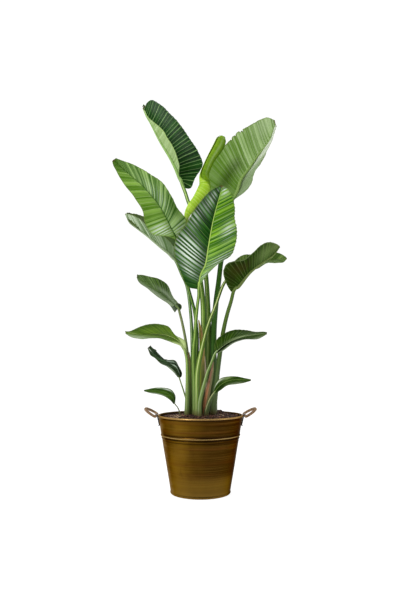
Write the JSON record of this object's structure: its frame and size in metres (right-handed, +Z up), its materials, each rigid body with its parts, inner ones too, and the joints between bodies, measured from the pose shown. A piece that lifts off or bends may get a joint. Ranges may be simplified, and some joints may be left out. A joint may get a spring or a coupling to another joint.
{
  "type": "potted bird of paradise plant",
  "caption": "Potted foliage plant with long-stalked paddle-shaped leaves rising from dark compost in a tapered metal bucket with raised, twine-wrapped side handles.",
  "frame": {"origin": "centre of the bucket's flat base, on the floor", "axes": "+Z up; +Y away from the viewer of the front; +X to the viewer's right, so the two side handles stand on +X and -X"},
  "size_m": [0.6607, 0.341, 1.5281],
  "materials": {
    "bucket_metal": "antique bronze, brushed round the wall, semi-gloss",
    "handle_wire": "dark antique, semi-gloss",
    "strap_metal": "dark antique, satin",
    "twine": "twisted natural cord, matt",
    "bark_compost": "rough, damp, matt",
    "leaf": "waxy, glossy, ribbed along the veins",
    "young_leaf": "waxy, semi-gloss, ribbed along the veins",
    "dry_sheath": "dry, fibrous, matt"
  },
  "bodies": {
    "root": {"bucket": "bucket_metal", "soil": "bark_compost", "leaf_furled": "young_leaf", "leaf_top_left": "leaf", "leaf_top_right": "leaf", "leaf_left_broad": "leaf", "leaf_left_rear": "leaf", "leaf_front_broad": "leaf", "leaf_right_front": "leaf", "leaf_right_rear": "leaf", "leaf_left_small_1": "leaf", "leaf_left_small_2": "leaf", "leaf_right_small_1": "leaf", "leaf_left_twisted": "leaf", "leaf_right_small_2": "leaf", "leaf_left_lowest": "leaf", "sheath_red_brown": "dry_sheath", "sheath_cream": "dry_sheath", "sheath_yellow_brown": "dry_sheath", "sheath_left": "dry_sheath", "handle_ring_right": "handle_wire", "handle_wrap_right": "twine", "ear_strap_right": "strap_metal", "handle_ring_left": "handle_wire", "handle_wrap_left": "twine", "ear_strap_left": "strap_metal"}
  },
  "joints": []
}
